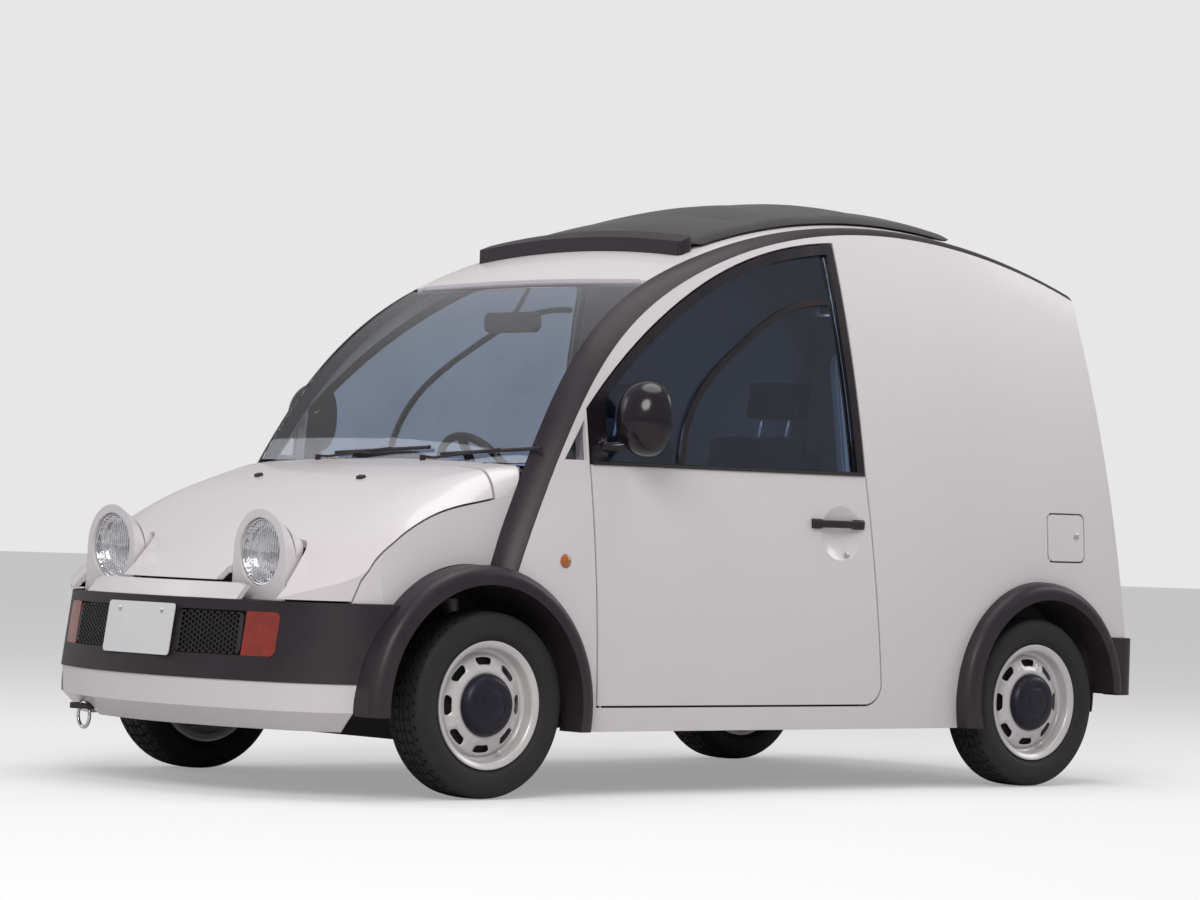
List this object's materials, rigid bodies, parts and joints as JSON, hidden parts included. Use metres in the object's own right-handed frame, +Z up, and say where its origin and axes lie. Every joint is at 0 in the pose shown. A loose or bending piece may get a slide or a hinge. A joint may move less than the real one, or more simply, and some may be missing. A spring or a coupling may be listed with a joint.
{
  "type": "small delivery van",
  "caption": "Small front-wheel-drive delivery van with an arched load body, folding canvas roof, round lamps, opening doors, bonnet and tailgate, steering and rolling wheels.",
  "frame": {"origin": "on the ground under the middle of the overall box", "axes": "+Z up, -Y towards the nose, +X towards the vehicle's left side"},
  "size_m": [1.804, 3.4799, 1.8569],
  "materials": {
    "white_paint": "gloss",
    "dark_plastic": "satin",
    "grille_plastic": "matt",
    "clear_glass": "polished",
    "tinted_glass": "polished",
    "lamp_glass": "ribbed",
    "indicator_lens": "ribbed",
    "rear_lens": "ribbed",
    "canvas": "woven",
    "seat_cloth": "woven",
    "cabin_plastic": "grained",
    "plate_paint": "satin",
    "under_paint": "satin",
    "cast_metal": "rough",
    "pipe_steel": "satin",
    "wheel_paint": "satin",
    "tyre_rubber": "matt"
  },
  "bodies": {
    "chassis": {"floor_pan": "under_paint", "front_subframe": "under_paint", "engine_block": "cast_metal", "exhaust": "pipe_steel", "fuel_tank": "under_paint", "rear_axle": "under_paint", "wheel_houses": "under_paint", "body_side_left": "white_paint", "body_side_right": "white_paint", "roof_panel": "white_paint", "canvas_top": "canvas", "canvas_rail": "dark_plastic", "front_fenders": "white_paint", "nose_panel": "white_paint", "headlamps": "lamp_glass", "front_bumper": "dark_plastic", "front_valance": "white_paint", "grilles": "grille_plastic", "indicators": "indicator_lens", "fixed_glass": "clear_glass", "wheel_flares": "dark_plastic", "pillar_trims": "dark_plastic", "rear_bumper": "dark_plastic", "rear_lamps": "rear_lens", "number_plate_front": "plate_paint", "dashboard": "cabin_plastic", "seats": "seat_cloth", "wipers": "dark_plastic", "cabin_mirror": "cabin_plastic"},
    "bonnet_lid": {"bonnet": "white_paint"},
    "left_door": {"door_left": "white_paint", "door_trim_left": "dark_plastic", "door_glass_left": "tinted_glass"},
    "right_door": {"door_right": "white_paint", "door_trim_right": "dark_plastic", "door_glass_right": "tinted_glass"},
    "rear_door": {"tailgate": "white_paint", "tailgate_glass": "tinted_glass", "number_plate_rear": "plate_paint"},
    "fuel_cover": {"fuel_lid": "white_paint"},
    "left_knuckle": {"knuckle_left": "cast_metal"},
    "right_knuckle": {"knuckle_right": "cast_metal"},
    "front_left_wheel": {"wheel_front_left": "wheel_paint", "tyre_front_left": "tyre_rubber"},
    "front_right_wheel": {"wheel_front_right": "wheel_paint", "tyre_front_right": "tyre_rubber"},
    "rear_left_wheel": {"wheel_rear_left": "wheel_paint", "tyre_rear_left": "tyre_rubber"},
    "rear_right_wheel": {"wheel_rear_right": "wheel_paint", "tyre_rear_right": "tyre_rubber"},
    "steering": {"steering_wheel": "cabin_plastic"}
  },
  "joints": [
    {"name": "left_door_hinge", "type": "hinge", "parent": "chassis", "child": "left_door", "pos_m": [0.7345, -0.59, 0.3], "axis": [0, 0, -1], "range_deg": [0, 65]},
    {"name": "right_door_hinge", "type": "hinge", "parent": "chassis", "child": "right_door", "pos_m": [-0.7345, -0.59, 0.3], "axis": [0, 0, 1], "range_deg": [0, 65]},
    {"name": "bonnet_hinge", "type": "hinge", "parent": "chassis", "child": "bonnet_lid", "pos_m": [0, -0.826, 0.944], "axis": [-1, 0, 0], "range_deg": [0, 50]},
    {"name": "tailgate_hinge", "type": "hinge", "parent": "chassis", "child": "rear_door", "pos_m": [0, 1.52315, 1.533], "axis": [1, 0, 0], "range_deg": [0, 80]},
    {"name": "fuel_lid_hinge", "type": "hinge", "parent": "chassis", "child": "fuel_cover", "pos_m": [0.73286, 1.304, 0.8], "axis": [0.0698, 0, -0.9976], "range_deg": [0, 80]},
    {"name": "steer_left", "type": "hinge", "parent": "chassis", "child": "left_knuckle", "pos_m": [0.64, -1.025, 0.16], "axis": [0, 0, 1], "range_deg": [-33, 33]},
    {"name": "steer_right", "type": "hinge", "parent": "chassis", "child": "right_knuckle", "pos_m": [-0.64, -1.025, 0.16], "axis": [0, 0, 1], "range_deg": [-33, 33]},
    {"name": "steering_turn", "type": "hinge", "parent": "chassis", "child": "steering", "pos_m": [-0.33, -0.2, 0.905], "axis": [0, 0.8829, 0.4695], "range_deg": [-528, 528]},
    {"name": "front_left_spin", "type": "hinge", "parent": "left_knuckle", "child": "front_left_wheel", "pos_m": [0.69, -1.025, 0.27], "axis": [1, 0, 0], "continuous": true},
    {"name": "front_right_spin", "type": "hinge", "parent": "right_knuckle", "child": "front_right_wheel", "pos_m": [-0.69, -1.025, 0.27], "axis": [1, 0, 0], "continuous": true},
    {"name": "rear_left_spin", "type": "hinge", "parent": "chassis", "child": "rear_left_wheel", "pos_m": [0.69, 1.235, 0.27], "axis": [1, 0, 0], "continuous": true},
    {"name": "rear_right_spin", "type": "hinge", "parent": "chassis", "child": "rear_right_wheel", "pos_m": [-0.69, 1.235, 0.27], "axis": [1, 0, 0], "continuous": true}
  ],
  "couplings": [
    {"joint": "steer_right", "follows": "steer_left", "ratio": 1},
    {"joint": "steering_turn", "follows": "steer_left", "ratio": 16}
  ]
}
